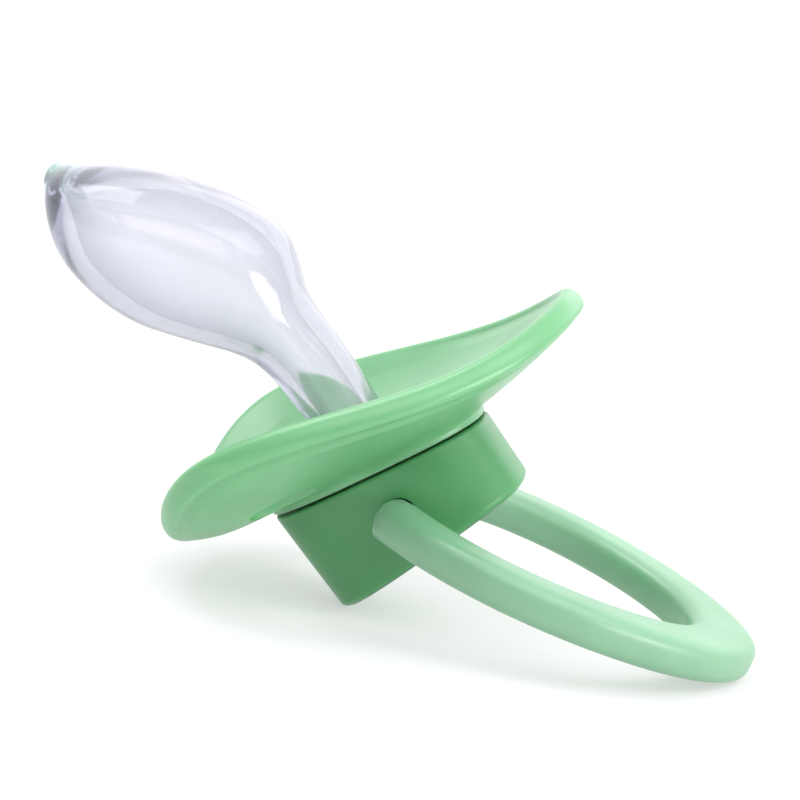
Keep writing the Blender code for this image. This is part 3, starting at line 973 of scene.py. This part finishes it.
def paper(name):
    """The floor: matt board with a faint tooth, and a glow of its own that makes it come out white."""
    material, nodes, links = new_material(name)
    shader = nodes["Principled BSDF"]
    shader.inputs["Base Color"].default_value = (*FLOOR_GREY, 1.0)
    shader.inputs["Specular IOR Level"].default_value = 0.15
    shader.inputs["Emission Color"].default_value = (1.0, 1.0, 1.0, 1.0)
    shader.inputs["Emission Strength"].default_value = FLOOR_EMISSION
    tooth = noise(nodes, links, *FLOOR_TOOTH)
    links.new(spread(nodes, links, tooth, *FLOOR_ROUGHNESS), shader.inputs["Roughness"])
    links.new(bump(nodes, links, tooth, FLOOR_TOOTH_HEIGHT, 0.3), shader.inputs["Normal"])
    return material


# ---------------------------------------------------------------- studio


def make_floor():
    bm = bmesh.new()
    bmesh.ops.create_circle(bm, cap_ends=True, segments=96, radius=FLOOR_RADIUS)
    floor = new_object("floor", bm)
    floor.location = (0, 0, -FLOOR_GAP)
    floor.data.materials.append(paper("white_board"))


def area_light(name, place, target, size, power):
    """A rectangular lamp that faces the target."""
    light = bpy.data.lights.new(name, "AREA")
    light.shape = "RECTANGLE"
    light.size, light.size_y = size
    light.energy = power
    lamp = bpy.data.objects.new(name, light)
    bpy.context.scene.collection.objects.link(lamp)
    lamp.location = place
    lamp.rotation_euler = (Vector(target) - Vector(place)).to_track_quat("-Z", "Y").to_euler()
    return lamp


def make_world():
    """A white studio that is bright above and behind the object, and dim low down in front of it."""
    world = bpy.data.worlds.new("studio")
    bpy.context.scene.world = world
    world.use_nodes = True
    nodes, links = world.node_tree.nodes, world.node_tree.links
    background = nodes["Background"]
    background.inputs["Color"].default_value = (*WORLD_WHITE, 1.0)
    coords = nodes.new("ShaderNodeTexCoord")
    towards = nodes.new("ShaderNodeVectorMath")
    towards.operation = "DOT_PRODUCT"
    towards.inputs[1].default_value = Vector(WORLD_BRIGHT_WAY).normalized()
    links.new(coords.outputs["Generated"], towards.inputs[0])
    fade = nodes.new("ShaderNodeMapRange")
    fade.interpolation_type = "SMOOTHSTEP"
    fade.inputs["From Min"].default_value = WORLD_FADE[0]
    fade.inputs["From Max"].default_value = WORLD_FADE[1]
    fade.inputs["To Min"].default_value = WORLD_STRENGTH[0]
    fade.inputs["To Max"].default_value = WORLD_STRENGTH[1]
    links.new(towards.outputs["Value"], fade.inputs["Value"])
    links.new(fade.outputs["Result"], background.inputs["Strength"])


def make_lights():
    for light in LIGHTS:
        area_light(*light)
    for light in UNSEEN_LIGHTS:
        lamp = area_light(*light)
        lamp.visible_transmission = False


def make_camera():
    """The photograph's camera, placed by its target, distance, two angles and roll."""
    ahead = Vector((
        -math.sin(CAMERA_HEADING) * math.cos(CAMERA_DOWN),
        math.cos(CAMERA_HEADING) * math.cos(CAMERA_DOWN),
        -math.sin(CAMERA_DOWN),
    ))
    right = ahead.cross(Vector((0, 0, 1))).normalized()
    up = right.cross(ahead)
    right, up = (
        right * math.cos(CAMERA_ROLL) + up * math.sin(CAMERA_ROLL),
        up * math.cos(CAMERA_ROLL) - right * math.sin(CAMERA_ROLL),
    )
    data = bpy.data.cameras.new("camera")
    data.lens = CAMERA_LENS
    data.sensor_width = 36.0
    data.clip_start, data.clip_end = 0.01, 20.0
    camera = bpy.data.objects.new("camera", data)
    bpy.context.scene.collection.objects.link(camera)
    turn = Matrix((right, up, -ahead)).transposed().to_4x4()
    camera.matrix_world = Matrix.Translation(CAMERA_TARGET - ahead * CAMERA_DISTANCE) @ turn
    bpy.context.scene.camera = camera


def main():
    make_camera()
    make_world()
    make_lights()
    make_floor()
    bpy.context.scene.view_settings.view_transform = "Standard"
    make_shield(plastic("green_shield_plastic", SHIELD_GREEN, gleam=0.8, glow=0.35))
    # The knob's darker green is painted shade; the neck post shares it.
    knob_plastic = plastic("green_knob_plastic_painted_shade", KNOB_GREEN_PAINTED_SHADE, gleam=0.45)
    make_knob(knob_plastic)
    make_post(knob_plastic)
    make_teat(silicone("clear_silicone_rubber"))
    # The ring's whiter green is a painted sheen.
    make_ring(plastic("green_ring_plastic_painted_sheen", RING_GREEN_PAINTED_SHEEN, matter=0.08, gleam=1.0))


main()
